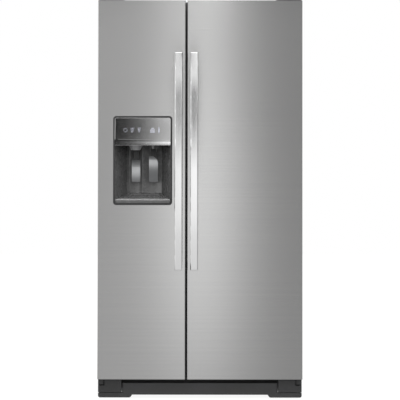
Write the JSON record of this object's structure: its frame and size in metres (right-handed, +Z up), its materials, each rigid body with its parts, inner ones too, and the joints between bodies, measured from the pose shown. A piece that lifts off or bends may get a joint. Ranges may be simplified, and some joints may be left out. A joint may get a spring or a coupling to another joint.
{
  "type": "side by side refrigerator",
  "caption": "Tall side by side refrigerator in brushed steel, with bowed bar handles, a recessed ice and water dispenser, inner shelves, drawers and door bins.",
  "frame": {"origin": "on the floor, at the middle of the footprint", "axes": "+Z up, the doors face -Y, +X to the right of a person facing the doors"},
  "size_m": [0.908, 0.8709, 1.789],
  "materials": {
    "stainless": "satin, horizontal grain",
    "handle_metal": "satin",
    "side_paint": "fine texture",
    "galvanised": "galvanised",
    "dark_trim": "fine moulded grain",
    "cap_grey": "moulded",
    "panel_gloss": "gloss",
    "lever_grey": "satin",
    "housing_charcoal": "satin",
    "spout_clear": "gloss",
    "white_liner": "satin",
    "white_trim": "satin",
    "clear_plastic": "clear",
    "shelf_pane": "polished",
    "foam": "foamed",
    "seal": "soft",
    "steel_black": "satin black",
    "bare_steel": "zinc plated",
    "coil_metal": "rolled",
    "roller_plastic": "moulded",
    "lens": "frosted",
    "brass_fitting": "turned"
  },
  "bodies": {
    "cabinet": {"cabinet_panels": "side_paint", "back_panel": "galvanised", "front_frame": "side_paint", "cabinet_insulation": "foam", "freezer_liner": "white_liner", "refrigerator_liner": "white_liner", "base_frame": "steel_black", "compressor": "steel_black", "condenser": "coil_metal", "fan_motors": "bare_steel", "drain_pan": "dark_trim", "water_valve": "brass_fitting", "machine_cover": "galvanised", "cord_gland": "dark_trim", "door_hinges": "bare_steel", "hinge_screws": "bare_steel", "top_hinge_covers": "dark_trim", "bottom_hinge_covers": "dark_trim", "toe_grille": "dark_trim", "shelf_frames": "white_trim", "shelf_glass": "shelf_pane", "evaporator": "coil_metal", "evaporator_cover": "white_liner", "ice_maker": "white_trim", "light_covers": "lens", "water_filter": "white_trim"},
    "freezer_door": {"freezer_door_skin": "stainless", "freezer_door_caps": "cap_grey", "freezer_door_insulation": "foam", "freezer_door_liner": "white_liner", "freezer_door_gasket": "seal", "freezer_door_bins": "clear_plastic", "freezer_handle": "handle_metal", "dispenser_bezel": "dark_trim", "dispenser_housing": "housing_charcoal", "control_panel": "panel_gloss", "dispenser_spouts": "spout_clear"},
    "refrigerator_door": {"refrigerator_door_skin": "stainless", "refrigerator_door_caps": "cap_grey", "refrigerator_door_insulation": "foam", "refrigerator_door_liner": "white_liner", "refrigerator_door_gasket": "seal", "refrigerator_door_bins": "clear_plastic", "refrigerator_handle": "handle_metal"},
    "ice_lever": {"ice_lever": "lever_grey"},
    "water_lever": {"water_lever": "lever_grey"},
    "chute_flap": {"chute_flap": "dark_trim"},
    "drip_tray": {"drip_tray": "housing_charcoal"},
    "dairy_lid": {"dairy_lid": "clear_plastic"},
    "upper_crisper": {"upper_crisper": "clear_plastic"},
    "lower_crisper": {"lower_crisper": "clear_plastic"},
    "freezer_basket": {"freezer_basket": "white_trim"},
    "ice_bin": {"ice_bin": "clear_plastic"},
    "ice_auger": {"ice_auger": "bare_steel"},
    "condenser_fan": {"condenser_fan": "roller_plastic"},
    "evaporator_fan": {"evaporator_fan": "roller_plastic"},
    "front_rollers": {"front_rollers": "roller_plastic"},
    "rear_rollers": {"rear_rollers": "roller_plastic"},
    "left_leveling_leg": {"left_leveling_leg": "bare_steel"},
    "right_leveling_leg": {"right_leveling_leg": "bare_steel"}
  },
  "joints": [
    {"name": "freezer_door_swing", "type": "hinge", "parent": "cabinet", "child": "freezer_door", "pos_m": [-0.432, -0.3495, 0.9265], "axis": [0, 0, -1], "range_deg": [0, 130]},
    {"name": "refrigerator_door_swing", "type": "hinge", "parent": "cabinet", "child": "refrigerator_door", "pos_m": [0.432, -0.3495, 0.9265], "axis": [0, 0, 1], "range_deg": [0, 130]},
    {"name": "ice_lever_press", "type": "hinge", "parent": "freezer_door", "child": "ice_lever", "pos_m": [-0.28775, -0.2915, 1.1096], "axis": [1, 0, 0], "range_deg": [0, 8], "stiffness_Nm_per_rad": 1.5, "springref_deg": -8.59},
    {"name": "water_lever_press", "type": "hinge", "parent": "freezer_door", "child": "water_lever", "pos_m": [-0.20975, -0.2915, 1.1096], "axis": [1, 0, 0], "range_deg": [0, 8], "stiffness_Nm_per_rad": 1.5, "springref_deg": -8.59},
    {"name": "chute_flap_swing", "type": "hinge", "parent": "freezer_door", "child": "chute_flap", "pos_m": [-0.28775, -0.25247, 1.23606], "axis": [1, 0, 0], "range_deg": [0, 40]},
    {"name": "drip_tray_pull", "type": "slide", "parent": "freezer_door", "child": "drip_tray", "axis": [0, -1, 0], "range_m": [0, 0.07]},
    {"name": "dairy_lid_lift", "type": "hinge", "parent": "refrigerator_door", "child": "dairy_lid", "pos_m": [0.18, -0.3055, 1.536], "axis": [1, 0, 0], "range_deg": [0, 85]},
    {"name": "upper_crisper_slide", "type": "slide", "parent": "cabinet", "child": "upper_crisper", "axis": [0, -1, 0], "range_m": [0, 0.078]},
    {"name": "lower_crisper_slide", "type": "slide", "parent": "cabinet", "child": "lower_crisper", "axis": [0, -1, 0], "range_m": [0, 0.078]},
    {"name": "freezer_basket_slide", "type": "slide", "parent": "cabinet", "child": "freezer_basket", "axis": [0, -1, 0], "range_m": [0, 0.078]},
    {"name": "ice_bin_slide", "type": "slide", "parent": "cabinet", "child": "ice_bin", "axis": [0, -1, 0], "range_m": [0, 0.048]},
    {"name": "auger_spin", "type": "hinge", "parent": "ice_bin", "child": "ice_auger", "pos_m": [-0.28775, -0.1015, 1.3833], "axis": [0, 1, 0], "continuous": true},
    {"name": "condenser_fan_spin", "type": "hinge", "parent": "cabinet", "child": "condenser_fan", "pos_m": [0.02, 0.3305, 0.127], "axis": [-1, 0, 0], "continuous": true},
    {"name": "evaporator_fan_spin", "type": "hinge", "parent": "cabinet", "child": "evaporator_fan", "pos_m": [-0.2465, 0.3265, 1.18], "axis": [0, -1, 0], "continuous": true},
    {"name": "front_rollers_roll", "type": "hinge", "parent": "cabinet", "child": "front_rollers", "pos_m": [0, -0.1945, 0.027], "axis": [1, 0, 0], "continuous": true},
    {"name": "rear_rollers_roll", "type": "hinge", "parent": "cabinet", "child": "rear_rollers", "pos_m": [0, 0.3755, 0.025], "axis": [1, 0, 0], "continuous": true},
    {"name": "left_leg_travel", "type": "slide", "parent": "cabinet", "child": "left_leveling_leg", "axis": [0, 0, 1], "range_m": [-0.012, 0.01]},
    {"name": "right_leg_travel", "type": "slide", "parent": "cabinet", "child": "right_leveling_leg", "axis": [0, 0, 1], "range_m": [-0.012, 0.01]}
  ],
  "couplings": [
    {"joint": "chute_flap_swing", "follows": "ice_lever_press", "ratio": 5}
  ]
}
